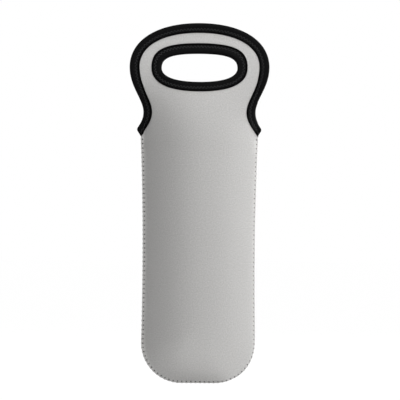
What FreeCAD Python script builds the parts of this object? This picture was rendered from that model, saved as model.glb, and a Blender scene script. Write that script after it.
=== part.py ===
import FreeCAD, Part
import math
import os
from types import SimpleNamespace

import Sketcher
from FreeCAD import Vector

# Neoprene carrier for one bottle: two matching panels, each a pouch half that runs up into a handle,
# sewn together round the sides and the bottom. Folded tape binds each panel's free rim and hand hole.
# Frame: +Z up, X across the panels, the front panel on -Y, origin at the middle of the bottom seam.

# Driving dimensions in millimetres. Names ending in share are plain ratios.
DIMENSIONS = (
    # Pouch
    ("pouch_height", 293.7),
    ("shoulder_width", 140.0),
    ("base_width", 136.0),
    ("corner_radius", 48.0),
    ("side_bow", 1.7),
    ("cavity_depth", 80.0),
    ("bottom_rise", 70.0),
    ("seam_allowance", 2.6),
    ("seam_softness", 2.0),
    ("seam_slack", 0.1),
    # Laminated sheet
    ("foam_thickness", 2.4),
    ("knit_thickness", 0.3),
    ("bond_gap", 0.05),
    # Handle flap
    ("handle_height", 136.3),
    ("handle_width", 166.8),
    ("lobe_drop", 52.9),
    ("waist_width", 133.4),
    ("waist_rise", 29.5),
    ("handle_gap", 1.0),
    ("split_gap", 0.3),
    ("closing_lead", 10.0),
    ("flatten_height", 120.0),
    ("spread_height", 25.0),
    # Hand hole, clear inside its tape
    ("grip_width", 90.5),
    ("grip_depth", 53.4),
    ("grip_rise", 16.9),
    ("grip_fall", 17.4),
    # Binding tape and its end at the shoulder
    ("tape_width", 12.0),
    ("tape_thickness", 0.9),
    ("tape_gap", 0.1),
    ("tape_end_reach", 4.8),
    ("tape_end_tuck", 0.7),
    ("tape_end_rise", 9.2),
    # Topstitching on the tape
    ("stitch_inset", 1.4),
    ("stitch_width", 0.7),
    ("stitch_height", 0.35),
    ("stitch_gap", 0.05),
    # Overcast side seam
    ("seam_pitch", 5.43),
    ("seam_bite", 2.9),
    ("seam_thread", 0.6),
    ("seam_thread_gap", 0.15),
    ("seam_end_margin", 4.0),
    # Room that cutting tools and forming sheets run past the panels
    ("overrun", 6.0),
    # Pull of each outline curve's control points
    ("round_share", 0.5523),
    ("crown_pull_share", 0.635),
    ("lobe_pull_share", 0.584),
    ("lobe_under_share", 0.447),
    ("waist_pull_share", 0.28),
    ("waist_inset_share", 0.95),
    ("end_drop_share", 0.37),
    ("end_lead_share", 0.39),
    ("end_flare_share", 0.27),
    ("grip_top_pull_share", 0.777),
    ("grip_side_pull_share", 0.678),
    ("grip_under_pull_share", 0.648),
    ("grip_base_pull_share", 0.65),
)

# Where the forming sheet is measured: across, as shares of the seam line and of the room outside it,
# and up, as shares of the bottom's rise, of the straight pouch and of the handle.
INSIDE_SHARES = (0, 0.15, 0.3, 0.45, 0.58, 0.69, 0.78, 0.85, 0.905, 0.95, 1)
OUTSIDE_SHARES = (0.1, 0.2, 0.32, 0.46, 0.62, 0.8, 1)
BOTTOM_SHARES = (0.02, 0.07, 0.12, 0.17, 0.23, 0.3, 0.38, 0.48, 0.6, 0.75, 1)
POUCH_SHARES = (0.25, 0.5, 0.7, 0.82, 0.89, 0.94, 0.98)
HANDLE_SHARES = (0.02, 0.07, 0.13, 0.2, 0.28, 0.37, 0.46, 0.55, 0.65, 0.75, 0.84, 0.92, 0.97)
FINE_STEP_SHARE = 0.001
EXPONENT_LIMITS = (1, 40)

doc = FreeCAD.newDocument("bottle_carrier")
sheet = doc.addObject("Spreadsheet::Sheet", "Sizes")
for row, (alias, value) in enumerate(DIMENSIONS, start=1):
    sheet.set(f"A{row}", alias)
    sheet.set(f"B{row}", str(value))
    sheet.setAlias(f"B{row}", alias)
doc.recompute()
size = SimpleNamespace(**{alias: float(sheet.get(alias)) for alias, _ in DIMENSIONS})

panel_half = size.foam_thickness / 2 + size.bond_gap + size.knit_thickness
tape_inner = panel_half + size.tape_gap
tape_outer = tape_inner + size.tape_thickness
top = size.pouch_height + size.handle_height


# Formed shape of a panel

def smooth_step(share):
    share = min(max(share, 0), 1)
    return share * share * (3 - 2 * share)


def seam_line(height):
    """Half width of the sewn line at a height, following the pouch's drawn-in sides."""
    share = (height - size.corner_radius) / (size.pouch_height - size.corner_radius)
    share = min(max(share, 0), 1)
    drawn_in = size.base_width / 2 - size.side_bow
    edge = (size.base_width / 2 * (1 - share) ** 3
            + 3 * drawn_in * (1 - share) * share
            + size.shoulder_width / 2 * share ** 3)
    return edge - size.seam_allowance


def corner_exponent():
    """Exponent that takes the pillow's edge through the middle of the sewn line's rounded corner."""
    sewn_radius = (size.corner_radius - size.seam_allowance) * math.cos(math.pi / 4)
    across = (size.base_width / 2 - size.corner_radius + sewn_radius) / seam_line(0)
    down = (size.bottom_rise - size.corner_radius + sewn_radius) / (size.bottom_rise - size.seam_allowance)
    low, high = EXPONENT_LIMITS
    while high - low > FINE_STEP_SHARE:
        middle = (low + high) / 2
        if across ** middle + down ** middle > 1:
            low = middle
        else:
            high = middle
    return low


pillow_exponent = corner_exponent()


def pillow(x, z):
    """How far the panel swells off the seam plane, easing into the flat seam allowance."""
    across = abs(x) / seam_line(z)
    down = max(size.bottom_rise - z, 0) / (size.bottom_rise - size.seam_allowance)
    edge = (across ** pillow_exponent + down ** pillow_exponent) ** (2 / pillow_exponent)
    swell = size.cavity_depth / 2 * (1 - edge)
    return (swell + math.hypot(swell, size.seam_softness)) / 2


def depth(x, z):
    """Distance of the panel's middle surface from the seam plane."""
    shoulder = size.pouch_height
    spread = smooth_step((z - shoulder + size.spread_height) / size.spread_height)
    flat = smooth_step((z - shoulder) / size.flatten_height)
    closing_start = shoulder - size.closing_lead
    closed = min(max((z - closing_start) / (top - closing_start), 0), 1)
    seam = panel_half + size.seam_slack / 2
    handle = tape_outer + size.handle_gap / 2
    base = seam + (handle - seam) * spread
    lean = (1 + math.cos(math.pi * closed)) / 2
    return base + ((1 - flat) * pillow(x, z) + flat * size.cavity_depth / 2) * lean


def formed_point(x, z, offset):
    """Point on the front panel's sheet, offset outwards from its middle surface."""
    step = FINE_STEP_SHARE * size.cavity_depth
    slope_x = (depth(x + step, z) - depth(x - step, z)) / (2 * step)
    slope_z = (depth(x, z + step) - depth(x, z - step)) / (2 * step)
    stretch = math.sqrt(1 + slope_x ** 2 + slope_z ** 2)
    return Vector(x, -(depth(x, z) + offset * stretch), z)


def sheet_columns():
    sewn = seam_line(size.pouch_height / 2)
    widest = max(size.handle_width, size.shoulder_width + 2 * size.tape_end_reach) / 2 + size.overrun
    right = [share * sewn for share in INSIDE_SHARES]
    right += [sewn + share * (widest - sewn) for share in OUTSIDE_SHARES]
    return [-x for x in reversed(right[1:])] + right


def sheet_rows():
    straight = size.pouch_height - size.bottom_rise
    rows = [-size.overrun, -size.overrun / 2]
    rows += [share * size.bottom_rise for share in BOTTOM_SHARES]
    rows += [size.bottom_rise + share * straight for share in POUCH_SHARES]
    rows += [size.pouch_height + share * size.handle_height for share in HANDLE_SHARES]
    return rows + [top, top + size.overrun]


def formed_surface(offset):
    columns = sheet_columns()
    surface = Part.BSplineSurface()
    surface.interpolate([[formed_point(x, z, offset) for x in columns] for z in sheet_rows()])
    return surface.toShape()


def formed_sheet(name, inner, outer):
    """Solid sheet between two offsets of the formed shape, larger than any pattern cut from it."""
    faces = [formed_surface(inner), formed_surface(outer)]
    faces += [Part.makeRuledSurface(a, b) for a, b in zip(faces[0].Edges, faces[1].Edges)]
    shell = Part.Shell(faces)
    shell.sewShape()
    feature = doc.addObject("Part::Feature", name)
    feature.Shape = Part.makeSolid(shell)
    return feature


# Flat patterns: half outlines of lines and cubic curves, bound to the sheet

TOP = "(Sizes.pouch_height + Sizes.handle_height)"
LOBE = f"({TOP} - Sizes.lobe_drop)"
WAIST = "(Sizes.pouch_height + Sizes.waist_rise)"
SPLIT = "(Sizes.pouch_height + Sizes.split_gap)"
GRIP = f"({TOP} - Sizes.grip_depth)"
EDGE_INSET = "(Sizes.tape_thickness + Sizes.tape_gap)"
TAPE_TIP = ("Sizes.shoulder_width / 2 - Sizes.tape_end_tuck", SPLIT)


def rim_curves(inset):
    """Right half of the rim from crown to shoulder, set in from the tape's outer edge."""
    side = f"(Sizes.handle_width / 2 - {inset})"
    crown = f"({TOP} - {inset})"
    waist = f"(Sizes.waist_width / 2 - Sizes.waist_inset_share * {inset})"
    lobe_fall = f"({LOBE} - {WAIST})"
    across_tape = f"({inset} / Sizes.tape_width)"
    end_x = (f"(Sizes.shoulder_width / 2 + Sizes.tape_end_reach"
             f" - (Sizes.tape_end_reach + Sizes.tape_end_tuck) * {across_tape})")
    end_z = (f"(Sizes.pouch_height + Sizes.tape_end_rise"
             f" - (Sizes.tape_end_rise - Sizes.split_gap) * {across_tape})")
    end_fall = f"({WAIST} - {end_z})"
    crown_curve = [
        ("0", crown),
        (f"Sizes.crown_pull_share * {side}", crown),
        (side, f"{LOBE} + Sizes.lobe_pull_share * (Sizes.lobe_drop - {inset})"),
        (side, LOBE)]
    lobe_curve = [
        (side, LOBE),
        (side, f"{LOBE} - Sizes.lobe_under_share * {lobe_fall}"),
        (waist, f"{WAIST} + Sizes.waist_pull_share * {lobe_fall}"),
        (waist, WAIST)]
    end_curve = [
        (waist, WAIST),
        (waist, f"{WAIST} - Sizes.end_drop_share * {end_fall}"),
        (f"{end_x} - Sizes.end_flare_share * {end_fall}",
         f"{end_z} + Sizes.end_lead_share * {end_fall}"),
        (end_x, end_z)]
    return [crown_curve, lobe_curve, end_curve]


def grip_curves(margin):
    """Right half of the hand hole from top to bottom, grown by a margin."""
    side = f"(Sizes.grip_width / 2 + {margin})"
    rise = f"(Sizes.grip_rise + {margin})"
    fall = f"(Sizes.grip_fall + {margin})"
    upper = [
        ("0", f"{GRIP} + {rise}"),
        (f"Sizes.grip_top_pull_share * {side}", f"{GRIP} + {rise}"),
        (side, f"{GRIP} + Sizes.grip_side_pull_share * {rise}"),
        (side, GRIP)]
    lower = [
        (side, GRIP),
        (side, f"{GRIP} - Sizes.grip_under_pull_share * {fall}"),
        (f"Sizes.grip_base_pull_share * {side}", f"{GRIP} - {fall}"),
        ("0", f"{GRIP} - {fall}")]
    return [upper, lower]


def pouch_curves():
    """Right half of the pouch outline: bottom seam, rounded corner and drawn-in side."""
    flat = "(Sizes.base_width / 2 - Sizes.corner_radius)"
    side = "(Sizes.base_width / 2)"
    drawn_in = f"({side} - Sizes.side_bow)"
    straight = "(Sizes.pouch_height - Sizes.corner_radius)"
    bottom = [("0", "0"), (flat, "0")]
    corner = [
        (flat, "0"),
        (f"{flat} + Sizes.round_share * Sizes.corner_radius", "0"),
        (side, "Sizes.corner_radius * (1 - Sizes.round_share)"),
        (side, "Sizes.corner_radius")]
    side_curve = [
        (side, "Sizes.corner_radius"),
        (drawn_in, f"Sizes.corner_radius + {straight} / 3"),
        (drawn_in, f"Sizes.pouch_height - {straight} / 3"),
        ("Sizes.shoulder_width / 2", "Sizes.pouch_height")]
    return [bottom, corner, side_curve]


def reversed_curves(curves):
    return [list(reversed(curve)) for curve in reversed(curves)]


def closed_outline(*runs):
    """Join runs of curves with straight lines into one closed outline."""
    curves = [curve for run in runs for curve in run]
    outline = []
    for index, curve in enumerate(curves):
        outline.append(curve)
        following = curves[(index + 1) % len(curves)]
        if curve[-1] != following[0]:
            outline.append([curve[-1], following[0]])
    return outline


def draw_outline(sketch, outline):
    """Draw an outline with every corner and control point bound to the sheet."""
    def bind(geometry, position, place):
        for kind, expression in zip(("DistanceX", "DistanceY"), place):
            constraint = sketch.addConstraint(Sketcher.Constraint(kind, geometry, position, 0))
            sketch.setExpression(f"Constraints[{constraint}]", expression)

    points_drawn = sum(len(curve) - 1 for curve in outline)
    spots = [Vector(math.cos(turn), math.sin(turn)) * size.handle_width
             for turn in (2 * math.pi * index / points_drawn for index in range(points_drawn + 1))]
    drawn = []
    start = 0
    for curve in outline:
        poles = spots[start:start + len(curve)]
        start += len(curve) - 1
        if len(curve) == 2:
            line = sketch.addGeometry(Part.LineSegment(*poles), False)
            bind(line, 1, curve[0])
            drawn.append(line)
            continue
        bezier = Part.BezierCurve()
        bezier.setPoles(poles)
        spline = sketch.addGeometry(bezier.toBSpline(), False)
        first_pole = sketch.GeometryCount
        sketch.exposeInternalGeometry(spline)
        for index, place in enumerate(curve[:-1]):
            bind(first_pole + index, 3, place)
        drawn.append(spline)
    for this, following in zip(drawn, drawn[1:] + drawn[:1]):
        sketch.addConstraint(Sketcher.Constraint("Coincident", this, 2, following, 1))


def pattern(name, outline):
    """Prism of a half outline on the XZ plane, mirrored to the left half."""
    body = doc.addObject("PartDesign::Body", name)
    plane = {feature.Role: feature for feature in body.Origin.OriginFeatures}
    sketch = body.newObject("Sketcher::SketchObject", f"{name}_outline")
    sketch.AttachmentSupport = (plane["XZ_Plane"], [""])
    sketch.MapMode = "FlatFace"
    draw_outline(sketch, outline)
    pad = body.newObject("PartDesign::Pad", f"{name}_pad")
    pad.Profile = sketch
    pad.SideType = "Symmetric"
    pad.setExpression("Length", "2 * (Sizes.cavity_depth + Sizes.overrun)")
    mirrored = body.newObject("PartDesign::Mirrored", f"{name}_mirrored")
    mirrored.Originals = [pad]
    mirrored.MirrorPlane = (plane["YZ_Plane"], [""])
    body.Tip = mirrored
    return body


def band(curves, outer, inner):
    """Outline of a strip between two offsets of the same curves."""
    return closed_outline(curves(outer), reversed_curves(curves(inner)))


# Building and naming the pieces

nodes = {}


def piece(label, kind, base, tool):
    """Front piece as a boolean of two objects, with its mirror image as the back piece."""
    front = doc.addObject(kind, f"front_{label}")
    front.Base = base
    front.Tool = tool
    back = doc.addObject("Part::Mirroring", f"back_{label}")
    back.Source = front
    back.Normal = Vector(0, 1, 0)
    for feature in (front, back):
        feature.Label = feature.Name
        nodes[feature.Label] = feature


def boolean(name, kind, base, tool):
    feature = doc.addObject(kind, name)
    feature.Base = base
    feature.Tool = tool
    return feature


def layers():
    """The laminate's three layers, cut for the pouch half and for the handle flap of each panel."""
    pouch = pattern("pouch_pattern", closed_outline(
        pouch_curves(),
        [[("Sizes.shoulder_width / 2", "Sizes.pouch_height"), ("0", "Sizes.pouch_height")]]))
    flap = pattern("flap_pattern", closed_outline(
        rim_curves(EDGE_INSET),
        [[TAPE_TIP, ("0", SPLIT)]],
        reversed_curves(grip_curves(EDGE_INSET))))
    foam_half = size.foam_thickness / 2
    knit_inner = foam_half + size.bond_gap
    for layer, inner, outer in (("face_knit", knit_inner, panel_half),
                                ("foam", -foam_half, foam_half),
                                ("lining", -panel_half, -knit_inner)):
        formed = formed_sheet(f"{layer}_sheet", inner, outer)
        piece(f"pouch_{layer}", "Part::Common", formed, pouch)
        piece(f"flap_{layer}", "Part::Common", formed, flap)


def bindings():
    """Tape folded over each flap's rim and hand hole, hollow where it takes in the panel's edge."""
    tape = formed_sheet("tape_sheet", -tape_outer, tape_outer)
    folded_in = formed_sheet("folded_in_sheet", -tape_inner, tape_inner)
    for edge, curves in (("rim", rim_curves), ("grip", grip_curves)):
        strip = pattern(f"{edge}_strip", band(curves, "0", "Sizes.tape_width"))
        fold = pattern(f"{edge}_fold",
                       band(curves, "Sizes.tape_thickness", "(Sizes.tape_width + Sizes.overrun)"))
        blank = boolean(f"{edge}_blank", "Part::Common", tape, strip)
        slot = boolean(f"{edge}_slot", "Part::Common", folded_in, fold)
        piece(f"{edge}_binding", "Part::Cut", blank, slot)


def topstitching():
    """Thread along each tape's sewn edge, one line on each face of the panel."""
    inner = tape_outer + size.stitch_gap
    outer = inner + size.stitch_height
    faces = doc.addObject("Part::Compound", "stitch_faces")
    faces.Links = [formed_sheet("outside_stitch_sheet", inner, outer),
                   formed_sheet("inside_stitch_sheet", -outer, -inner)]
    line = "(Sizes.tape_width - Sizes.stitch_inset)"
    for edge, curves in (("rim", rim_curves), ("grip", grip_curves)):
        strip = pattern(f"{edge}_stitch_strip", band(curves, f"({line} - Sizes.stitch_width)", line))
        piece(f"{edge}_stitching", "Part::Common", faces, strip)


def overcast_stitch(edge_point, along):
    """Thread that wraps both panels' edges at one place of the seam."""
    outward = along.cross(Vector(0, 1, 0))
    if outward.dot(edge_point - Vector(0, 0, size.pouch_height / 2)) < 0:
        outward = -outward
    needle = edge_point - outward * size.seam_bite
    at_needle, at_edge = [size.seam_thread_gap - formed_point(place.x, place.z, panel_half).y
                          for place in (needle, edge_point)]
    half = [(size.seam_thread_gap, at_edge),
            (-size.seam_bite, at_needle),
            (-size.seam_bite, at_needle + size.seam_thread),
            (size.seam_thread_gap + size.seam_thread, at_edge + size.seam_thread)]
    section = half + [(reach, -across) for reach, across in reversed(half)]
    start = edge_point - along * (size.seam_thread / 2)
    corners = [start + outward * reach + Vector(0, across, 0) for reach, across in section]
    face = Part.Face(Part.makePolygon(corners + corners[:1]))
    return face.extrude(along * size.seam_thread)


def seam_stitching():
    """Overcast stitches at an even pitch from the middle of the bottom seam up both sides."""
    seam = doc.getObject("pouch_pattern_outline").Shape.Edges[:len(pouch_curves())]
    last = sum(edge.Length for edge in seam) - size.seam_end_margin
    stitches = []
    reached = size.seam_pitch / 2
    passed = 0
    for edge in seam:
        while reached < min(passed + edge.Length, last):
            place = edge.getParameterByLength(reached - passed)
            stitches.append(overcast_stitch(edge.valueAt(place), edge.tangentAt(place)))
            reached += size.seam_pitch
        passed += edge.Length
    stitches += [stitch.mirror(Vector(), Vector(1, 0, 0)) for stitch in stitches]
    feature = doc.addObject("Part::Feature", "side_seam_stitching")
    feature.Shape = Part.makeCompound(stitches)
    nodes[feature.Label] = feature


def check_and_export():
    for feature in doc.Objects:
        if "Invalid" in feature.State or "Error" in feature.State:
            raise RuntimeError(f"{feature.Label} failed to build: {feature.State}")
    for label, feature in nodes.items():
        if feature.Shape.isNull() or not feature.Shape.isValid() or not feature.Shape.Solids:
            raise RuntimeError(f"{label} has no valid solid")
    os.makedirs("parts", exist_ok=True)
    for label, feature in nodes.items():
        feature.Shape.exportStep(f"parts/{label}.step")
        box = feature.Shape.BoundBox
        print(f"{label}: {len(feature.Shape.Solids)} solids, {feature.Shape.Volume:.1f} mm3, "
              f"{box.XLength:.1f} x {box.YLength:.1f} x {box.ZLength:.1f} mm")


layers()
bindings()
topstitching()
doc.recompute()
seam_stitching()
doc.recompute()
check_and_export()
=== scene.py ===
import math

import bpy
import numpy as np
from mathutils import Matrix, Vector
from mathutils.geometry import delaunay_2d_cdt
from mathutils.kdtree import KDTree


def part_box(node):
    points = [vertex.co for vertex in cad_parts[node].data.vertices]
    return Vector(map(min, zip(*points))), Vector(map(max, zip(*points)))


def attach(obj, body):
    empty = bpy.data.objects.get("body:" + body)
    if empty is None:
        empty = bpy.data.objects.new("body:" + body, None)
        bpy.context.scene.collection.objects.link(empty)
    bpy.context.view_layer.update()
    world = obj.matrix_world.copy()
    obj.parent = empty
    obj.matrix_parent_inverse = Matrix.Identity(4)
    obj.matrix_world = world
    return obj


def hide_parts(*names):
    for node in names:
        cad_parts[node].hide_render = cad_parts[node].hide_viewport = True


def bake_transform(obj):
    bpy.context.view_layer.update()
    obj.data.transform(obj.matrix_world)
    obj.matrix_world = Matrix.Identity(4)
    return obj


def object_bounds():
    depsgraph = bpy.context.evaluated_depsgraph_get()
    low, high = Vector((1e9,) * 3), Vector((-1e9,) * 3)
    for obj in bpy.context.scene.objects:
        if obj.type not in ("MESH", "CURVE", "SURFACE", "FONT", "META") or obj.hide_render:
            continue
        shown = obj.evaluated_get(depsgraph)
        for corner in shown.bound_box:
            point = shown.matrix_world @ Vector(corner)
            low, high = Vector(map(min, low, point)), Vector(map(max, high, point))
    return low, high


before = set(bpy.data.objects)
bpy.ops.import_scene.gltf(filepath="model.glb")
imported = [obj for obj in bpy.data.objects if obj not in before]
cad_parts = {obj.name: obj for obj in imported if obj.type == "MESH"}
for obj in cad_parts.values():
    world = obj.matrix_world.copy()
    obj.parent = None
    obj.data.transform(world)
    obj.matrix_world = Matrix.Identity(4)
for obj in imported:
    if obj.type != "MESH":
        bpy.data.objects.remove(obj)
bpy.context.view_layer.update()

# Neoprene bottle carrier: two laminated panels formed as one pillowed pouch with a handle, black
# folded tape zigzagged over every free edge, and an overcast seam round the sides and the bottom.
# Everything is in metres, in the frame of the solids: the front panel is on -Y.

MM = 0.001
SIDES = {"front": -1, "back": 1}

# Sizes taken from the solids
pouch_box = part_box("front_pouch_foam")
rim_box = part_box("front_rim_binding")
grip_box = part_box("front_grip_binding")
pouch_height = pouch_box[1].z
shoulder_half = pouch_box[1].x
top = rim_box[1].z
handle_half = rim_box[1].x

# Sizes of the panels and the tape, repeated from the solids
BASE_HALF = 68 * MM
CORNER_RADIUS = 48 * MM
SIDE_BOW = 1.7 * MM
HALF_CAVITY = 40 * MM
BOTTOM_RISE = 70 * MM
SEAM_SLACK = 0.1 * MM
FOAM_HALF = 1.2 * MM
KNIT = 0.3 * MM
BOND = 0.05 * MM
PANEL_HALF = FOAM_HALF + BOND + KNIT
HANDLE_GAP = 1 * MM
CLOSING_LEAD = 10 * MM
FLATTEN_HEIGHT = 120 * MM
SPREAD_HEIGHT = 25 * MM
LOBE_DROP = 52.9 * MM
WAIST_HALF = 66.7 * MM
WAIST_RISE = 29.5 * MM
GRIP_RISE = 16.9 * MM
GRIP_FALL = 17.4 * MM
TAPE_WIDTH = 12 * MM
TAPE_THICKNESS = 0.9 * MM
TAPE_GAP = 0.1 * MM
TAPE_OUTER = PANEL_HALF + TAPE_GAP + TAPE_THICKNESS
EDGE_INSET = TAPE_THICKNESS + TAPE_GAP
TAPE_END_REACH = 4.8 * MM
TAPE_END_TUCK = 0.7 * MM
TAPE_END_RISE = 9.2 * MM
SPLIT_GAP = 0.3 * MM
ROUND_SHARE = 0.5523
CROWN_PULL_SHARE = 0.635
LOBE_PULL_SHARE = 0.584
LOBE_UNDER_SHARE = 0.447
WAIST_PULL_SHARE = 0.28
WAIST_INSET_SHARE = 0.95
END_DROP_SHARE = 0.37
END_LEAD_SHARE = 0.39
END_FLARE_SHARE = 0.27
GRIP_TOP_PULL_SHARE = 0.777
GRIP_SIDE_PULL_SHARE = 0.678
GRIP_UNDER_PULL_SHARE = 0.648
GRIP_BASE_PULL_SHARE = 0.65
waist_height = pouch_height + WAIST_RISE
grip_half = grip_box[1].x - TAPE_WIDTH
grip_height = grip_box[0].z + TAPE_WIDTH + GRIP_FALL
tape_corner = np.array((shoulder_half + TAPE_END_REACH, pouch_height + TAPE_END_RISE))
tape_tip = np.array((shoulder_half - TAPE_END_TUCK, pouch_height + SPLIT_GAP))

# The seam: its edge lies flat on the left and is rolled up on the right. At the edge the panels part
# just below the tape, and under that the sheet fills out on its inside so that the panels meet.
FLAT_SEAM = 5 * MM
FLAT_SEAM_BEND = 1.5 * MM
ROLLED_SEAM = 0.6 * MM
SEWN_SPREAD_HEIGHT = 7 * MM
SEWN_SPREAD_FADE = 5 * MM
EDGE_FILL_REACH = 3 * MM
SEAM_PITCH = 5.43 * MM
SEAM_BITE = 2.3 * MM
SEAM_THREAD = 0.16 * MM
SCALLOP = 0.5 * MM
EDGE_PINCH = 0.15 * MM
EDGE_PINCH_REACH = 2.6 * MM
SEAM_PUFF = 1.1 * MM
SEAM_PUFF_REACH = 5 * MM
SEAM_PUFF_FADE = 12 * MM
DIMPLE_DEPTH = 1 * MM
DIMPLE_RADIUS = 1.1 * MM
NEEDLE_HOLE = 0.74 * MM
NEEDLE_HOLE_CORNERS = 12
NEEDLE_DIP = 1.2 * MM

# The tape's form and its zigzag
TAPE_STITCH_LINE = 7.6 * MM
TAPE_STITCH_HALF = 1.6 * MM
TAPE_STITCH_STEP = 2 * MM
TAPE_THREAD = 0.24 * MM
TAPE_PRESS = 0.5 * MM
TAPE_PRESS_REACH = 2.4 * MM
TAPE_PUFF = 0.3 * MM
TAPE_FOLD = 3.2 * MM
TAPE_EDGE_RADIUS = 0.7 * MM
TAPE_END_RADIUS = 2.6 * MM
TAPE_END_FADE = 4 * MM
PANEL_CORNER_CUT = 4.5 * MM

# Fineness of the meshes
CURVE_STEPS = 240
SEAM_STEPS = 8
GRID_STEP = 4 * MM
TAPE_STEP = 0.7 * MM
OVERCAST_STEPS = 9
SLOPE_STEP = 0.05 * MM
CLOTH_STEPS = 32
TAPE_EDGE_STEPS = 5
TAPE_LEG_STEPS = 13
TAPE_FOLD_STEPS = 7
ZIGZAG_STEPS = 6
THREAD_SIDES = 6
EXPONENT_LIMIT = 40
EXPONENT_STEPS = 40000
PLAN_TOLERANCE = 1e-6
SHEET_SHARP_ANGLE = math.radians(50)
TAPE_SHARP_ANGLE = math.radians(60)


# Formed shape of a panel

def smooth_step(share):
    share = np.clip(share, 0, 1)
    return share * share * (3 - 2 * share)


def sewn_strip(x):
    """Width of the strip outside the sewn line and softness of the bend along that line."""
    right_share = smooth_step((1 + x / BASE_HALF) / 2)
    return [left + (ROLLED_SEAM - left) * right_share for left in (FLAT_SEAM, FLAT_SEAM_BEND)]


def edge_line(z):
    """Half width of the pouch's sewn edge at a height."""
    share = np.clip((z - CORNER_RADIUS) / (pouch_height - CORNER_RADIUS), 0, 1)
    drawn_in = BASE_HALF - SIDE_BOW
    return (BASE_HALF * (1 - share) ** 3 + 3 * drawn_in * (1 - share) * share
            + shoulder_half * share ** 3)


def corner_exponent():
    """Exponent that takes the pillow's edge through the middle of the sewn line's rounded corner."""
    strip, _ = sewn_strip(0)
    sewn_radius = (CORNER_RADIUS - strip) * math.sqrt(0.5)
    across = (BASE_HALF - CORNER_RADIUS + sewn_radius) / (BASE_HALF - strip)
    down = (BOTTOM_RISE - CORNER_RADIUS + sewn_radius) / (BOTTOM_RISE - strip)
    exponents = np.linspace(1, EXPONENT_LIMIT, EXPONENT_STEPS)
    return exponents[np.argmax(across ** exponents + down ** exponents < 1)]


pillow_exponent = corner_exponent()


def pillow(x, z):
    """How far the pouch swells out from its sewn edge."""
    strip, softness = sewn_strip(x)
    across = np.abs(x) / (edge_line(z) - strip)
    down = np.maximum(BOTTOM_RISE - z, 0) / (BOTTOM_RISE - strip)
    edge = (across ** pillow_exponent + down ** pillow_exponent) ** (2 / pillow_exponent)
    swell = HALF_CAVITY * (1 - edge)
    return (swell + np.hypot(swell, softness)) / 2


def depth(x, z):
    """Distance of a panel's middle surface from the seam plane."""
    swollen = pillow(x, z)
    sewn = np.exp(-(swollen / SEWN_SPREAD_FADE) ** 2)
    spread_height = SPREAD_HEIGHT + (SEWN_SPREAD_HEIGHT - SPREAD_HEIGHT) * sewn
    spread = smooth_step((z - pouch_height) / spread_height + 1)
    flat = smooth_step((z - pouch_height) / FLATTEN_HEIGHT)
    closing_start = pouch_height - CLOSING_LEAD
    closed = np.clip((z - closing_start) / (top - closing_start), 0, 1)
    seam = PANEL_HALF + SEAM_SLACK / 2
    handle = TAPE_OUTER + HANDLE_GAP / 2
    lean = (1 + np.cos(np.pi * closed)) / 2
    return seam + (handle - seam) * spread + ((1 - flat) * swollen + flat * HALF_CAVITY) * lean


def formed(flat_points, offset, side):
    """Points of a panel's pattern lifted onto its formed shape and offset square to it, outwards if
    the offset is positive."""
    x, z = np.asarray(flat_points).T
    slope_x = (depth(x + SLOPE_STEP, z) - depth(x - SLOPE_STEP, z)) / (2 * SLOPE_STEP)
    slope_z = (depth(x, z + SLOPE_STEP) - depth(x, z - SLOPE_STEP)) / (2 * SLOPE_STEP)
    stretch = offset / np.sqrt(1 + slope_x ** 2 + slope_z ** 2)
    y = side * (depth(x, z) + stretch)
    return np.column_stack((x - slope_x * stretch, y, z - slope_z * stretch))


# Pattern curves, as in the solids

def bezier(*poles):
    share = np.linspace(0, 1, CURVE_STEPS)[:, None]
    a, b, c, d = np.array(poles, float)
    return ((1 - share) ** 3 * a + 3 * (1 - share) ** 2 * share * b
            + 3 * (1 - share) * share ** 2 * c + share ** 3 * d)


def joined(*curves):
    return np.vstack([curves[0]] + [curve[1:] for curve in curves[1:]])


def left_to_right(right_half):
    """A curve that starts on the middle line, with its mirror image before it."""
    return joined(right_half[::-1] * (-1, 1), right_half)


def rim_curve(inset):
    """The rim from the left shoulder over the crown to the right one, set in from the tape's fold."""
    side = handle_half - inset
    waist = WAIST_HALF - WAIST_INSET_SHARE * inset
    lobe = top - LOBE_DROP
    lobe_fall = lobe - waist_height
    end = tape_corner + (tape_tip - tape_corner) * inset / TAPE_WIDTH
    end_fall = waist_height - end[1]
    crown = bezier((0, top - inset), (CROWN_PULL_SHARE * side, top - inset),
                   (side, lobe + LOBE_PULL_SHARE * (LOBE_DROP - inset)), (side, lobe))
    under = bezier((side, lobe), (side, lobe - LOBE_UNDER_SHARE * lobe_fall),
                   (waist, waist_height + WAIST_PULL_SHARE * lobe_fall), (waist, waist_height))
    foot = bezier((waist, waist_height), (waist, waist_height - END_DROP_SHARE * end_fall),
                  end + np.array((-END_FLARE_SHARE, END_LEAD_SHARE)) * end_fall, end)
    return left_to_right(joined(crown, under, foot))


def grip_curve(margin):
    """The hand hole as a closed loop, grown by a margin."""
    side = grip_half + margin
    rise = GRIP_RISE + margin
    fall = GRIP_FALL + margin
    upper = bezier((0, grip_height + rise), (GRIP_TOP_PULL_SHARE * side, grip_height + rise),
                   (side, grip_height + GRIP_SIDE_PULL_SHARE * rise), (side, grip_height))
    lower = bezier((side, grip_height), (side, grip_height - GRIP_UNDER_PULL_SHARE * fall),
                   (GRIP_BASE_PULL_SHARE * side, grip_height - fall), (0, grip_height - fall))
    return left_to_right(joined(upper, lower))


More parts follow.
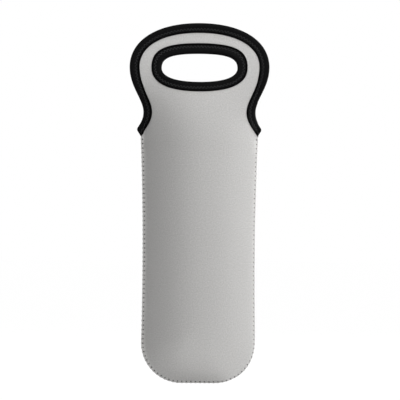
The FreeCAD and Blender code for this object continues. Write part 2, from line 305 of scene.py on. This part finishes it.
def seam_curve():
    """The sewn edge from the right shoulder round the bottom to the left one."""
    flat = BASE_HALF - CORNER_RADIUS
    drawn_in = BASE_HALF - SIDE_BOW
    straight = pouch_height - CORNER_RADIUS
    bottom = np.linspace((0, 0), (flat, 0), CURVE_STEPS)
    corner = bezier((flat, 0), (flat + ROUND_SHARE * CORNER_RADIUS, 0),
                    (BASE_HALF, CORNER_RADIUS * (1 - ROUND_SHARE)), (BASE_HALF, CORNER_RADIUS))
    side = bezier((BASE_HALF, CORNER_RADIUS), (drawn_in, CORNER_RADIUS + straight / 3),
                  (drawn_in, pouch_height - straight / 3), (shoulder_half, pouch_height))
    return left_to_right(joined(bottom, corner, side))[::-1]


def travelled(points):
    """Length along a line at each of its points."""
    return np.concatenate(([0], np.cumsum(np.linalg.norm(np.diff(points, axis=0), axis=1))))


def between(lengths, along, values):
    """Rows of values known at lengths along a line, at other lengths along it."""
    return np.column_stack([np.interp(lengths, along, column) for column in values.T])


def at_lengths(points, lengths):
    return between(lengths, travelled(points), points)


def respaced(points, step, cut=0):
    """A line's points at even steps, with its two ends cut short."""
    length = travelled(points)[-1]
    return at_lengths(points, np.linspace(cut, length - cut, round((length - 2 * cut) / step) + 1))


def inward(points):
    """Unit normals that point into the panel from a line along the sewn edge."""
    tangent = np.gradient(points, axis=0)
    tangent /= np.linalg.norm(tangent, axis=1)[:, None]
    return np.column_stack((tangent[:, 1], -tangent[:, 0]))


seam_line = seam_curve()
seam_length = travelled(seam_line)[-1]
stitch_count = round(seam_length / SEAM_PITCH)
seam_edge = at_lengths(seam_line, np.linspace(0, seam_length, stitch_count * SEAM_STEPS + 1))
seam_inward = inward(seam_edge)
stitch_turns = np.arange(len(seam_edge)) / SEAM_STEPS - 0.5
scallops = SCALLOP * (1 - np.cos(2 * np.pi * stitch_turns)) / 2
scalloped_edge = seam_edge + seam_inward * scallops[:, None]
needle_places = slice(SEAM_STEPS // 2, None, SEAM_STEPS)
needles = (seam_edge + seam_inward * SEAM_BITE)[needle_places]
rim_fold = rim_curve(0)
grip_fold = grip_curve(0)


def nearest(places, points):
    """Distance from each point to the nearest of some places."""
    tree = KDTree(len(places))
    for index, place in enumerate(places):
        tree.insert((*place, 0), index)
    tree.balance()
    return np.array([tree.find((*point, 0))[2] for point in points])


# Triangulated plans of a panel

# Rows of points beside the seam (millimetres in from it, and between points), rows beside the tapes
# (millimetres in from the fold), and rings round each needle hole
SEAM_ROWS = ((0.9, 1.3), (3.4, 1.5), (4.6, 1.8), (6.2, 2.2), (8.2, 2.7), (10.8, 3.3))
TAPE_ROWS = (3, 6, 8, 9.6, 11, 12.2, 13.4, 14.8, 16.4, 18.6)
TAPE_ROW_STEP = 2.6 * MM
NEEDLE_RINGS = (1 * MM, 1.4 * MM, 1.85 * MM)
CLEARANCE_SHARE = 0.62
CONVEX_HULL = 0


def ring(centre, radius):
    turn = 2 * np.pi * np.arange(NEEDLE_HOLE_CORNERS) / NEEDLE_HOLE_CORNERS
    return centre + radius * np.column_stack((np.cos(turn), np.sin(turn)))


def thinned(kept, candidates, gap):
    """Candidates that keep a gap to what is kept and to each other, by cells of that gap."""
    cells = {}
    found = []

    def cell(point):
        return int(point[0] // gap), int(point[1] // gap)

    def free(point):
        column, row = cell(point)
        near = (other for i in (-1, 0, 1) for j in (-1, 0, 1)
                for other in cells.get((column + i, row + j), ()))
        return all((point[0] - other[0]) ** 2 + (point[1] - other[1]) ** 2 > gap * gap
                   for other in near)

    for point in kept:
        cells.setdefault(cell(point), []).append(point)
    for point in candidates:
        if free(point):
            cells.setdefault(cell(point), []).append(point)
            found.append(point)
    return found


def inside(loop, points):
    """Which points lie inside a closed loop."""
    x, z = points.T
    crossed = np.zeros(len(points), int)
    for (x0, z0), (x1, z1) in zip(loop, np.roll(loop, -1, axis=0)):
        if z0 != z1:
            spans = (z0 > z) != (z1 > z)
            crossed += spans & (x < x0 + (z - z0) / (z1 - z0) * (x1 - x0))
    return crossed % 2 == 1


def panel_plan(edge, with_needles):
    """Points and triangles of a panel's flat pattern, finer where it is sewn."""
    rim = respaced(rim_curve(EDGE_INSET), TAPE_ROW_STEP, PANEL_CORNER_CUT)
    outline = np.vstack((edge, rim))
    grip = respaced(grip_curve(EDGE_INSET), TAPE_ROW_STEP)[:-1]
    loops = [outline, grip]
    rings = []
    if with_needles:
        for centre in needles:
            loops.append(ring(centre, NEEDLE_HOLE))
            rings += [ring(centre, radius) for radius in NEEDLE_RINGS]
    points = [tuple(point) for line in loops + rings for point in line]
    rows = []
    for distance, step in SEAM_ROWS:
        line = respaced(seam_edge, step * MM)
        rows.append((line + inward(line) * (distance * MM), step * MM))
    for curve in (rim_curve, grip_curve):
        rows += [(respaced(curve(inset * MM), TAPE_ROW_STEP), TAPE_ROW_STEP) for inset in TAPE_ROWS]
    columns = np.arange(-handle_half, handle_half, GRID_STEP)
    heights = np.arange(0, top, GRID_STEP * math.sqrt(3) / 2)
    grid = np.array([(x + GRID_STEP / 2 * (row % 2), z)
                     for row, z in enumerate(heights) for x in columns])
    for candidates, step in rows + [(grid, GRID_STEP)]:
        candidates = candidates[inside(outline, candidates) & ~inside(grip, candidates)]
        points += thinned(points, [tuple(point) for point in candidates], CLEARANCE_SHARE * step)
    edges = []
    start = 0
    for loop in loops:
        edges += [(start + i, start + (i + 1) % len(loop)) for i in range(len(loop))]
        start += len(loop)
    flat = np.array(points)
    made = delaunay_2d_cdt([Vector(point) for point in flat / MM], edges, [], CONVEX_HULL,
                           PLAN_TOLERANCE)
    flat = np.array(made[0]) * MM
    triangles = np.array(made[2])
    middle = flat[triangles].mean(axis=1)
    kept = inside(outline, middle) & ~inside(grip, middle)
    if with_needles:
        kept &= nearest(needles, middle) > NEEDLE_HOLE
    triangles = triangles[kept]
    a, b, c = (flat[triangles[:, corner]] for corner in range(3))
    turned = (b[:, 0] - a[:, 0]) * (c[:, 1] - a[:, 1]) < (b[:, 1] - a[:, 1]) * (c[:, 0] - a[:, 0])
    triangles[turned] = triangles[turned][:, ::-1]
    return flat, triangles


def boundary(triangles):
    """Directed edges that only one triangle has."""
    edges = np.vstack([triangles[:, pair] for pair in ((0, 1), (1, 2), (2, 0))])
    seen = {tuple(edge) for edge in edges}
    return np.array([edge for edge in edges if (edge[1], edge[0]) not in seen])


# Making pieces

def make_piece(name, vertices, faces, places, material, side=-1):
    """Mesh object of one piece. The places are its texture places in metres, one for each vertex. On
    the back the faces are turned round, because that side is a mirror image."""
    if side > 0:
        faces = [tuple(reversed(face)) for face in faces]
    mesh = bpy.data.meshes.new(name)
    mesh.from_pydata([tuple(vertex) for vertex in vertices], [],
                     [tuple(int(index) for index in face) for face in faces])
    mesh.polygons.foreach_set("use_smooth", np.ones(len(mesh.polygons), bool))
    corners = np.zeros(len(mesh.loops), int)
    mesh.loops.foreach_get("vertex_index", corners)
    layer = mesh.uv_layers.new(name="flat")
    layer.data.foreach_set("uv", np.asarray(places, np.float32)[corners].ravel())
    mesh.materials.append(material)
    mesh.validate()
    piece = bpy.data.objects.new(name, mesh)
    bpy.context.scene.collection.objects.link(piece)
    return piece


def flat_places(flat_points):
    """Texture places of pattern points: the length of cloth across and the height."""
    x, z = flat_points.T
    shares = np.linspace(0, 1, CLOTH_STEPS + 1)
    profile = np.array([depth(x * share, z) for share in shares])
    lengths = np.hypot(np.diff(profile, axis=0), np.abs(x) / CLOTH_STEPS).sum(axis=0)
    return np.column_stack((np.sign(x) * lengths, z))


def layer_piece(name, plan, outer, inner, side, material):
    """Closed sheet between two offsets of the formed shape."""
    flat, triangles = plan
    count = len(flat)
    vertices = np.vstack((formed(flat, outer, side), formed(flat, inner, side)))
    rim = boundary(triangles)
    walls = np.column_stack((rim[:, 1], rim[:, 0], rim[:, 0] + count, rim[:, 1] + count))
    faces = triangles.tolist() + (triangles[:, ::-1] + count).tolist() + walls.tolist()
    places = flat_places(flat)
    piece = make_piece(name, vertices, faces, np.vstack((places, places)), material, side)
    used = np.unique(np.concatenate([triangles.ravel(), triangles.ravel() + count]))
    assert len(used) == len(piece.data.vertices), f"{name} has loose points"
    piece.data.set_sharp_from_angle(angle=SHEET_SHARP_ANGLE)
    return piece


def tape_press(inset):
    """How much the tape's stitching squeezes the panel at a distance from the fold."""
    return TAPE_PRESS * np.exp(-((inset - TAPE_STITCH_LINE) / TAPE_PRESS_REACH) ** 2)


def squeezed(flat_points):
    """How much sewing thins each face of the panel: along the tapes, and along the seam's edge."""
    taped = tape_press(np.minimum(nearest(rim_fold, flat_points), nearest(grip_fold, flat_points)))
    sewn = EDGE_PINCH * (1 - smooth_step(nearest(seam_edge, flat_points) / EDGE_PINCH_REACH))
    return taped, sewn


def dimples(flat_points):
    """Depth of the dimples that the seam's stitches pull into the face."""
    reach = nearest(needles, flat_points)
    return DIMPLE_DEPTH * np.exp(-(reach / DIMPLE_RADIUS) ** 2)


def puffed(flat_points):
    """How far the sheet rolls up beside the seam on the right, fading out under the tape."""
    reach = nearest(seam_edge, flat_points) / SEAM_PUFF_REACH
    clear = smooth_step((nearest(rim_fold, flat_points) - TAPE_WIDTH) / SEAM_PUFF_FADE)
    right_share = np.clip(flat_points[:, 0] / BASE_HALF, 0, 1)
    return SEAM_PUFF * right_share * reach * np.exp(1 - reach) * clear


def edge_fill(flat_points):
    """How much the sheet fills out on its inside along the sewn edge, where the two panels meet."""
    x, z = flat_points.T
    near = 1 - smooth_step(nearest(seam_edge, flat_points) / EDGE_FILL_REACH)
    below_tape = 1 - smooth_step((z - pouch_height) / SEWN_SPREAD_HEIGHT + 1)
    return pillow(x, z) * near * below_tape


def edge_surface(flat_points):
    """Offset of the face knit's outside near the sewn edge."""
    _, sewn = squeezed(flat_points)
    return PANEL_HALF + puffed(flat_points) - sewn - dimples(flat_points)


# Tape

def tape_section():
    """The folded tape's outer and inner lines, from its front edge round the fold to its back edge:
    distances in from the fold and offsets from the panel's middle."""
    rounded = TAPE_EDGE_RADIUS * (1 - np.cos(np.linspace(0, np.pi / 2, TAPE_EDGE_STEPS)))
    straight = np.linspace(TAPE_WIDTH - TAPE_EDGE_RADIUS, TAPE_FOLD, TAPE_LEG_STEPS)
    leg = np.concatenate((TAPE_WIDTH - rounded, straight[1:]))
    sunk = np.maximum(leg - (TAPE_WIDTH - TAPE_EDGE_RADIUS), 0)
    rounding = TAPE_EDGE_RADIUS - np.sqrt(np.maximum(TAPE_EDGE_RADIUS ** 2 - sunk ** 2, 0))
    puff = TAPE_PUFF * np.sin(np.pi * np.clip(leg / TAPE_STITCH_LINE, 0, 1)) ** 2
    seat = PANEL_HALF - tape_press(leg) + TAPE_GAP / 2
    outer = seat + TAPE_THICKNESS + puff - rounding
    turn = np.linspace(0, np.pi / 2, TAPE_FOLD_STEPS)[1:]
    fold = TAPE_FOLD * (1 - np.sin(turn))
    outer_half = np.column_stack((np.append(leg, fold), np.append(outer, outer[-1] * np.cos(turn))))
    inner_half = np.column_stack((np.append(leg, np.maximum(fold, EDGE_INSET - TAPE_GAP / 2)),
                                  np.append(seat, seat[-1] * np.cos(turn))))
    return [joined(half, half[::-1] * (1, -1)) for half in (outer_half, inner_half)]


tape_cut_width = float(travelled(tape_section()[0])[-1])


class TapePath:
    """Line of a tape's fold with the direction across the tape at each place along it."""

    def __init__(self, curve, closed):
        self.fold = curve(0)
        self.across = (curve(TAPE_WIDTH) - self.fold) / TAPE_WIDTH
        self.along = travelled(self.fold + self.across * TAPE_STITCH_LINE)
        self.length = self.along[-1]
        self.closed = closed

    def flat(self, along, inset):
        """Pattern points at lengths along the stitching and distances in from the fold."""
        places = [np.interp(along, self.along, column) for column in (*self.fold.T, *self.across.T)]
        return np.column_stack((places[0] + places[2] * inset, places[1] + places[3] * inset))


def end_setback(to_end, inset):
    """How far the tape's rounded corner stops short of its end, fading out along the tape."""
    short = np.maximum(TAPE_END_RADIUS - inset, 0)
    rounding = TAPE_END_RADIUS - np.sqrt(TAPE_END_RADIUS ** 2 - short ** 2)
    return rounding * np.exp(-to_end / TAPE_END_FADE)


def tape_piece(name, path, side, material):
    outer, inner = tape_section()
    section = np.vstack((outer, inner[::-1]))
    count = len(section)
    rings = round(path.length / TAPE_STEP)
    along = np.linspace(0, path.length, rings + 1)
    if path.closed:
        along = along[:-1]
    stations = np.repeat(along, count)
    inset = np.tile(section[:, 0], len(along))
    offset = np.tile(section[:, 1], len(along))
    if not path.closed:
        stations = (stations + end_setback(stations, inset)
                    - end_setback(path.length - stations, inset))
    vertices = formed(path.flat(stations, inset), offset, side)
    girth = travelled(section)
    places = np.column_stack((stations, np.tile(girth, len(along))))
    faces = []
    for ring_index in range(len(along) if path.closed else len(along) - 1):
        a = ring_index * count
        b = (ring_index + 1) % len(along) * count
        for i in range(count):
            j = (i + 1) % count
            faces.append((a + i, b + i, b + j, a + j))
    if not path.closed:
        last = (len(along) - 1) * count
        for i in range(len(outer) - 1):
            near = (i, i + 1, count - 2 - i, count - 1 - i)
            faces.append(near)
            faces.append(tuple(last + k for k in reversed(near)))
    piece = make_piece(name, vertices, faces, places, material, side)
    piece.data.set_sharp_from_angle(angle=TAPE_SHARP_ANGLE)
    return piece


# Thread

SKEW_DIRECTION = (0.31, 0.87, 0.39)
ZIGZAG_RISE_SHARE = 2.2
ZIGZAG_SINK_SHARE = 1.4
ZIGZAG_ROUNDING = 0.6


def thread_tubes(paths, radius):
    """Round threads along many lines at once, closed at their ends: their vertices, faces and texture
    places."""
    sides = THREAD_SIDES
    paths = np.asarray(paths, float)
    lines, steps, _ = paths.shape
    tangent = np.gradient(paths, axis=1)
    tangent /= np.linalg.norm(tangent, axis=2, keepdims=True)
    across = np.cross(tangent[:, 0], SKEW_DIRECTION)
    frames = []
    for step in range(steps):
        across = across - (across * tangent[:, step]).sum(axis=1, keepdims=True) * tangent[:, step]
        across /= np.linalg.norm(across, axis=1, keepdims=True)
        frames.append(across)
    across = np.stack(frames, axis=1)
    up = np.cross(tangent, across)
    turn = 2 * np.pi * np.arange(sides) / sides
    swing = (across[:, :, None] * np.cos(turn)[:, None] + up[:, :, None] * np.sin(turn)[:, None])
    vertices = (paths[:, :, None] + radius * swing).reshape(-1, 3)
    along = np.concatenate((np.zeros((lines, 1)),
                            np.cumsum(np.linalg.norm(np.diff(paths, axis=1), axis=2), axis=1)), axis=1)
    places = np.stack(np.broadcast_arrays(along[:, :, None], radius * turn), axis=3)
    faces = []
    for line in range(lines):
        base = line * steps * sides
        for step in range(steps - 1):
            a = base + step * sides
            faces += [(a + i, a + (i + 1) % sides, a + sides + (i + 1) % sides, a + sides + i)
                      for i in range(sides)]
        faces.append(tuple(base + i for i in reversed(range(sides))))
        faces.append(tuple(base + (steps - 1) * sides + i for i in range(sides)))
    return vertices, faces, places.reshape(-1, 2)


def zigzag_piece(name, path, side, material):
    """Zigzag thread that holds a tape, on the panel's outer and inner face."""
    legs = 2 * round(path.length / (2 * TAPE_STITCH_STEP))
    step = np.arange(legs * ZIGZAG_STEPS + 1) / ZIGZAG_STEPS
    if not path.closed:
        step = np.unique(np.clip(step, 0.5, legs - 0.5))
    leg_share = step % 1
    swing = np.abs((step % 2) - 1) * 2 - 1
    inset = TAPE_STITCH_LINE + TAPE_STITCH_HALF * swing
    along = step * path.length / legs
    outer, _ = tape_section()
    half = len(outer) // 2
    surface = np.interp(inset, outer[:half, 0][::-1], outer[:half, 1][::-1])
    arch = np.sin(np.pi * leg_share) ** ZIGZAG_ROUNDING
    lift = TAPE_THREAD * (ZIGZAG_RISE_SHARE * arch - ZIGZAG_SINK_SHARE)
    flat = path.flat(along, inset)
    lines = [formed(flat, face * (surface + lift), side) for face in (1, -1)]
    vertices, faces, places = thread_tubes(lines, TAPE_THREAD)
    return make_piece(name, vertices, faces, places, material)


def overcast_piece(name, material):
    """Thread wrapped over the sewn edge, from each front needle hole to the next back one."""
    along_edge = travelled(seam_edge)
    pitch = along_edge[-1] / stitch_count
    starts = (np.arange(stitch_count - 1) + 0.5) * pitch
    run = np.linspace(0, 1, OVERCAST_STEPS)
    halves = []
    for side, along_share, inset_share in ((-1, run / 2, 1 - run), (1, (1 + run) / 2, run)):
        along = (starts[:, None] + along_share * pitch).ravel()
        inset = np.tile(inset_share, len(starts)) * SEAM_BITE
        flat = (between(along, along_edge, scalloped_edge)
                + between(along, along_edge, seam_inward) * inset[:, None])
        sunk = NEEDLE_DIP * smooth_step((inset - SEAM_BITE + NEEDLE_HOLE) / NEEDLE_HOLE)
        half = formed(flat, edge_surface(flat) + SEAM_THREAD / 2 - sunk, side)
        halves.append(half.reshape(len(starts), OVERCAST_STEPS, 3))
    front, back = halves
    middle = (front[:, -1:] + back[:, :1]) / 2
    across = (back[:, :1] - front[:, -1:]) / 2
    out = between(starts + pitch / 2, along_edge, -seam_inward)
    out = np.column_stack((out[:, 0], np.zeros(len(out)), out[:, 1]))[:, None]
    turn = np.linspace(-np.pi / 2, np.pi / 2, OVERCAST_STEPS)[1:-1, None]
    wrap = middle + across * np.sin(turn) + out * SEAM_THREAD * np.cos(turn)
    vertices, faces, places = thread_tubes(np.concatenate((front, wrap, back), axis=1), SEAM_THREAD)
    return make_piece(name, vertices, faces, places, material)


# Materials

FACE_GREY = (0.447, 0.442, 0.435)
LINING_BLACK = (0.022, 0.022, 0.024)
FOAM_BLACK = (0.018, 0.018, 0.019)
TAPE_BLACK = (0.0041, 0.0041, 0.0043)
TAPE_THREAD_BLACK = (0.023, 0.023, 0.024)
SEAM_THREAD_GREY = (0.43, 0.427, 0.42)
WALE = 0.62 * MM
COURSE = 0.5 * MM
LOOP_SLANT = 1.3
LOOP_LEVEL = 0.5
GROOVE_POWER = 4
FACE_RELIEF = 0.05 * MM
LINING_RELIEF = 0.06 * MM
FOAM_RELIEF = 0.15 * MM
TAPE_RIB = 0.45 * MM
TWIST = 0.4 * MM
RIB_RELIEF = 0.03 * MM
# Widths in from the tape's long edges: within the first its colour is painted fully dark, as painted
# shade, which clears by the second
EDGE_SHADE_DARK = 2.2 * MM
EDGE_SHADE_CLEAR = 3.2 * MM
NOISE_DETAIL = 3
MOTTLE_STOPS = (0.3, 0.7)


class Look:
    """Procedural material with a principled shader."""

    def __init__(self, name, colour, roughness, sheen=0.0, sheen_roughness=0.5, specular=0.5):
        self.material = bpy.data.materials.new(name)
        self.material.use_nodes = True
        self.tree = self.material.node_tree
        self.shader = self.tree.nodes["Principled BSDF"]
        self.colour = colour
        sockets = {"Base Color": (*colour, 1), "Roughness": roughness, "Sheen Weight": sheen,
                   "Sheen Roughness": sheen_roughness, "Specular IOR Level": specular}
        for socket, value in sockets.items():
            self.shader.inputs[socket].default_value = value

    def node(self, kind, **settings):
        made = self.tree.nodes.new(f"ShaderNode{kind}")
        for name, value in settings.items():
            setattr(made, name, value)
        return made

    def join(self, value, socket):
        if isinstance(value, (int, float)):
            socket.default_value = value
        else:
            self.tree.links.new(value, socket)

    def math(self, operation, *values):
        made = self.node("Math", operation=operation)
        for value, socket in zip(values, made.inputs):
            self.join(value, socket)
        return made.outputs[0]

    def flat_places(self):
        split = self.node("SeparateXYZ")
        self.join(self.node("UVMap", uv_map="flat").outputs[0], split.inputs[0])
        return split.outputs[0], split.outputs[1]

    def noise(self, scale):
        made = self.node("TexNoise")
        made.inputs["Scale"].default_value = scale
        made.inputs["Detail"].default_value = NOISE_DETAIL
        self.join(self.node("UVMap", uv_map="flat").outputs[0], made.inputs["Vector"])
        return made.outputs[0]

    def mottle(self, scale, spread, shade=1):
        """Vary the colour a little from place to place, scaled by a given shade, such as the tape's
        painted edge shade.
        """
        ramp = self.node("ValToRGB")
        ends = zip(ramp.color_ramp.elements, MOTTLE_STOPS, (1 - spread, 1 + spread))
        for stop, position, share in ends:
            stop.color = (*(min(part * share, 1) for part in self.colour), 1)
            stop.position = position
        self.join(self.noise(scale), ramp.inputs[0])
        shaded = self.node("VectorMath", operation="SCALE")
        self.join(ramp.outputs[0], shaded.inputs[0])
        self.join(shade, shaded.inputs["Scale"])
        self.join(shaded.outputs[0], self.shader.inputs["Base Color"])

    def painted_edge_shade(self, width, dark, clear, shade):
        """Painted shade on a tape's two long edges, standing in for the shadow where they meet the
        panel, clearing up towards its middle.
        """
        _, across = self.flat_places()
        to_edge = self.math("MINIMUM", across, self.math("SUBTRACT", width, across))
        edge = self.node("MapRange", interpolation_type="SMOOTHSTEP")
        limits = {"From Min": dark, "From Max": clear, "To Min": shade, "To Max": 1}
        for socket, value in limits.items():
            edge.inputs[socket].default_value = value
        self.join(to_edge, edge.inputs["Value"])
        return edge.outputs[0]

    def bump(self, height, distance):
        made = self.node("Bump")
        made.inputs["Strength"].default_value = 1
        made.inputs["Distance"].default_value = distance
        self.join(height, made.inputs["Height"])
        self.join(made.outputs[0], self.shader.inputs["Normal"])

    def knit(self, wale, course, distance):
        """Jersey loops: columns of small V shapes."""
        across, up = self.flat_places()
        column = self.math("FRACT", self.math("DIVIDE", across, wale))
        off_middle = self.math("ABSOLUTE", self.math("SUBTRACT", column, 0.5))
        slanted = self.math("MULTIPLY", off_middle, LOOP_SLANT)
        row = self.math("ADD", self.math("DIVIDE", up, course), slanted)
        loop = self.math("SINE", self.math("MULTIPLY", row, 2 * math.pi))
        groove = self.math("POWER", self.math("MULTIPLY", off_middle, 2), GROOVE_POWER)
        self.bump(self.math("SUBTRACT", self.math("MULTIPLY", loop, LOOP_LEVEL), groove), distance)

    def ribs(self, pitch, slant, distance):
        """Fine parallel ribs, as in twill tape or twisted thread."""
        along, across = self.flat_places()
        row = self.math("ADD", along, self.math("MULTIPLY", across, slant))
        rib = self.math("SINE", self.math("MULTIPLY", row, 2 * math.pi / pitch))
        self.bump(rib, distance)


def make_materials():
    face = Look("face_knit", FACE_GREY, roughness=0.85, sheen=0.25, sheen_roughness=0.35,
                specular=0.2)
    face.mottle(scale=700, spread=0.13)
    face.knit(WALE, COURSE, FACE_RELIEF)
    lining = Look("lining_knit", LINING_BLACK, roughness=0.85, sheen=0.15)
    lining.mottle(scale=120, spread=0.15)
    lining.knit(WALE, COURSE, LINING_RELIEF)
    foam = Look("foam", FOAM_BLACK, roughness=0.9)
    foam.mottle(scale=900, spread=0.25)
    foam.bump(foam.noise(scale=1800), FOAM_RELIEF)
    tape = Look("binding_tape", TAPE_BLACK, roughness=0.5, specular=0.015)
    # The tape's colour is painted darker along its two long edges, as painted shade for the shadowed
    # edge against the panel
    painted_edge_shade = tape.painted_edge_shade(tape_cut_width, EDGE_SHADE_DARK, EDGE_SHADE_CLEAR, shade=0.1)
    tape.mottle(scale=300, spread=0.2, shade=painted_edge_shade)
    tape.ribs(TAPE_RIB, slant=0.35, distance=RIB_RELIEF)
    black = Look("tape_thread", TAPE_THREAD_BLACK, roughness=0.5, specular=0.2)
    black.mottle(scale=400, spread=0.2)
    black.ribs(TWIST, slant=0.8, distance=RIB_RELIEF)
    grey = Look("seam_thread", SEAM_THREAD_GREY, roughness=0.6, sheen=0.1)
    grey.mottle(scale=400, spread=0.05)
    grey.ribs(TWIST, slant=0.8, distance=RIB_RELIEF)
    looks = {"face_knit": face, "lining_knit": lining, "foam": foam, "binding_tape": tape,
             "tape_thread": black, "seam_thread": grey}
    return {slot: look.material for slot, look in looks.items()}


materials = make_materials()

# The panels, their tape and their thread

sewn_plan = panel_plan(scalloped_edge, True)
plain_plan = panel_plan(scalloped_edge, False)
rim_path = TapePath(rim_curve, False)
grip_path = TapePath(grip_curve, True)


def finish_piece(piece, slot, *nodes):
    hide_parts(*nodes)


def bent(piece):
    """Bakes the piece's placement into its mesh."""
    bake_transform(piece)


def make_panel(name, side):
    taped, _ = squeezed(sewn_plan[0])
    outer = edge_surface(sewn_plan[0]) - taped
    face = layer_piece(f"{name}_face_knit_sheet", sewn_plan, outer, outer - KNIT, side,
                       materials["face_knit"])
    finish_piece(face, "face_knit", f"{name}_pouch_face_knit", f"{name}_flap_face_knit")

    taped, sewn = squeezed(plain_plan[0])
    to_needles = nearest(seam_edge, plain_plan[0]) - SEAM_BITE
    groove = DIMPLE_DEPTH * np.exp(-(to_needles / DIMPLE_RADIUS) ** 2)
    puff = puffed(plain_plan[0])
    outer = FOAM_HALF + puff - taped - sewn - groove
    inner = -FOAM_HALF + puff + taped - edge_fill(plain_plan[0])
    foam = layer_piece(f"{name}_foam_sheet", plain_plan, outer, inner, side, materials["foam"])
    finish_piece(foam, "foam", f"{name}_pouch_foam", f"{name}_flap_foam")

    lining = layer_piece(f"{name}_lining_sheet", plain_plan, inner - BOND, inner - BOND - KNIT, side,
                         materials["lining_knit"])
    finish_piece(lining, "lining_knit", f"{name}_pouch_lining", f"{name}_flap_lining")

    for piece in (face, foam, lining):
        bent(piece)


def make_binding(name, side):
    for edge, path in (("rim", rim_path), ("grip", grip_path)):
        tape = tape_piece(f"{name}_{edge}_tape", path, side, materials["binding_tape"])
        finish_piece(tape, "binding_tape", f"{name}_{edge}_binding")
        thread = zigzag_piece(f"{name}_{edge}_zigzag", path, side, materials["tape_thread"])
        finish_piece(thread, "tape_thread", f"{name}_{edge}_stitching")
        for piece in (tape, thread):
            if path.closed:
                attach(piece, f"{name}_flap")
            else:
                bent(piece)


for name, side in SIDES.items():
    make_panel(name, side)
    make_binding(name, side)
overcast = overcast_piece("side_seam_overcast", materials["seam_thread"])
finish_piece(overcast, "seam_thread", "side_seam_stitching")
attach(overcast, "pouch")


# Stage, light and camera

FLOOR_SIZE = 24
CAMERA_DISTANCE = 6
VIEW_WIDTH = 477.8 * MM
VIEW_CENTRE = Vector((1.5 * MM, 0, 218.75 * MM))
SENSOR = 36
WHITE = (1, 1, 1, 1)
PAPER_WHITE = (0.9, 0.9, 0.9, 1)
PAPER_ROUGHNESS = 0.9
PAPER_GLOW = 0.36
SEEN_SHARE = 0.94
SEEN_LEVEL = 1.03


def seen_rays(tree):
    """One for what the camera sees, straight or in a reflection, and zero for light on objects."""
    rays = tree.nodes.new("ShaderNodeLightPath")
    seen = rays.outputs["Is Camera Ray"]
    for kind in ("Is Glossy Ray", "Is Transmission Ray"):
        either = tree.nodes.new("ShaderNodeMath")
        either.operation = "MAXIMUM"
        tree.links.new(seen, either.inputs[0])
        tree.links.new(rays.outputs[kind], either.inputs[1])
        seen = either.outputs[0]
    return seen


def make_floor():
    material = bpy.data.materials.new("floor")
    material.use_nodes = True
    nodes = material.node_tree.nodes
    links = material.node_tree.links
    paper = nodes["Principled BSDF"]
    paper.inputs["Base Color"].default_value = PAPER_WHITE
    paper.inputs["Roughness"].default_value = PAPER_ROUGHNESS
    paper.inputs["Specular IOR Level"].default_value = 0
    paper.inputs["Emission Color"].default_value = WHITE
    paper.inputs["Emission Strength"].default_value = PAPER_GLOW
    glow = nodes.new("ShaderNodeEmission")
    glow.inputs["Color"].default_value = WHITE
    glow.inputs["Strength"].default_value = SEEN_LEVEL
    share = nodes.new("ShaderNodeMath")
    share.operation = "MULTIPLY"
    share.inputs[1].default_value = SEEN_SHARE
    mix = nodes.new("ShaderNodeMixShader")
    links.new(seen_rays(material.node_tree), share.inputs[0])
    links.new(share.outputs[0], mix.inputs[0])
    links.new(paper.outputs[0], mix.inputs[1])
    links.new(glow.outputs[0], mix.inputs[2])
    links.new(mix.outputs[0], nodes["Material Output"].inputs[0])
    mesh = bpy.data.meshes.new("floor")
    half = FLOOR_SIZE / 2
    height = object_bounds()[0].z
    corners = [(-half, -half), (half, -half), (half, half), (-half, half)]
    mesh.from_pydata([(*corner, height) for corner in corners], [], [(0, 1, 2, 3)])
    mesh.materials.append(material)
    floor = bpy.data.objects.new("floor", mesh)
    bpy.context.scene.collection.objects.link(floor)


def make_world(level):
    world = bpy.data.worlds.new("studio")
    world.use_nodes = True
    nodes = world.node_tree.nodes
    links = world.node_tree.links
    light = nodes["Background"]
    light.inputs["Color"].default_value = WHITE
    light.inputs["Strength"].default_value = level
    white = nodes.new("ShaderNodeBackground")
    white.inputs["Color"].default_value = WHITE
    white.inputs["Strength"].default_value = 1
    mix = nodes.new("ShaderNodeMixShader")
    links.new(seen_rays(world.node_tree), mix.inputs[0])
    links.new(light.outputs[0], mix.inputs[1])
    links.new(white.outputs[0], mix.inputs[2])
    links.new(mix.outputs[0], nodes["World Output"].inputs[0])
    bpy.context.scene.world = world


def make_lamp(name, azimuth, elevation, distance, size, power):
    """Square soft box that faces the middle of the carrier."""
    data = bpy.data.lights.new(name, "AREA")
    data.size = size
    data.energy = power
    lamp = bpy.data.objects.new(name, data)
    bpy.context.scene.collection.objects.link(lamp)
    turn, rise = math.radians(azimuth), math.radians(elevation)
    out = Vector((math.sin(turn) * math.cos(rise), -math.cos(turn) * math.cos(rise),
                  math.sin(rise)))
    lamp.location = VIEW_CENTRE + out * distance
    lamp.rotation_euler = (-out).to_track_quat("-Z", "Y").to_euler()


def make_camera(roll):
    data = bpy.data.cameras.new("camera")
    data.sensor_width = SENSOR
    data.lens = SENSOR * CAMERA_DISTANCE / VIEW_WIDTH
    camera = bpy.data.objects.new("camera", data)
    bpy.context.scene.collection.objects.link(camera)
    camera.location = VIEW_CENTRE - Vector((0, CAMERA_DISTANCE, 0))
    camera.rotation_euler = (math.pi / 2, -math.radians(roll), 0)
    bpy.context.scene.camera = camera


make_floor()
make_world(level=0.134)
make_lamp("key", azimuth=30, elevation=25, distance=1.6, size=0.3, power=11.5)
make_lamp("top", azimuth=30, elevation=80, distance=0.5, size=0.4, power=1.6)
make_lamp("rim", azimuth=125, elevation=10, distance=1.6, size=1.2, power=40.5)
make_camera(roll=0.36)
bpy.context.scene.view_settings.view_transform = "Standard"
